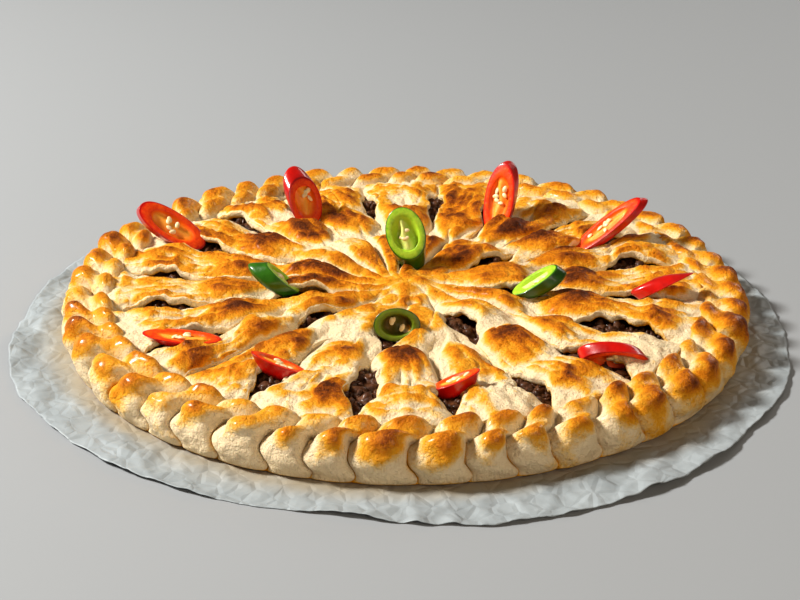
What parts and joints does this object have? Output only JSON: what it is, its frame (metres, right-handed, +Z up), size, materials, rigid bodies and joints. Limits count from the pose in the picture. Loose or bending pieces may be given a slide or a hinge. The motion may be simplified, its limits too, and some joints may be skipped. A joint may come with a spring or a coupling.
{
  "type": "meat pie",
  "caption": "Large round meat pie with a plaited rim and a lid slit into petals, chilli slices in the slits, on a sheet of baking paper.",
  "frame": {"origin": "on the surface the pie lies on, under the middle of the pie", "axes": "+Z up, -Y towards the viewer who sees the long row of red slices at the back, +X to that viewer's right"},
  "size_m": [0.3692, 0.3741, 0.0475],
  "materials": {
    "crust": "baked yeast dough, golden with brown tops and pale creases, egg wash on the rim",
    "meat": "cooked minced meat, dark brown and moist",
    "paper": "white baking paper, crumpled, slightly see-through",
    "red_chilli": "glossy red skin, orange-red flesh and cream seeds",
    "green_chilli": "glossy dark green skin, light green flesh and cream seeds"
  },
  "bodies": {
    "root": {"baking_paper": "paper", "crust": "crust", "filling": "meat", "red_chilli_1": "red_chilli", "red_chilli_2": "red_chilli", "red_chilli_3": "red_chilli", "red_chilli_4": "red_chilli", "red_chilli_5": "red_chilli", "red_chilli_6": "red_chilli", "red_chilli_7": "red_chilli", "red_chilli_8": "red_chilli", "red_chilli_9": "red_chilli", "green_chilli_1": "green_chilli", "green_chilli_2": "green_chilli", "green_chilli_3": "green_chilli", "green_chilli_4": "green_chilli"}
  },
  "joints": []
}
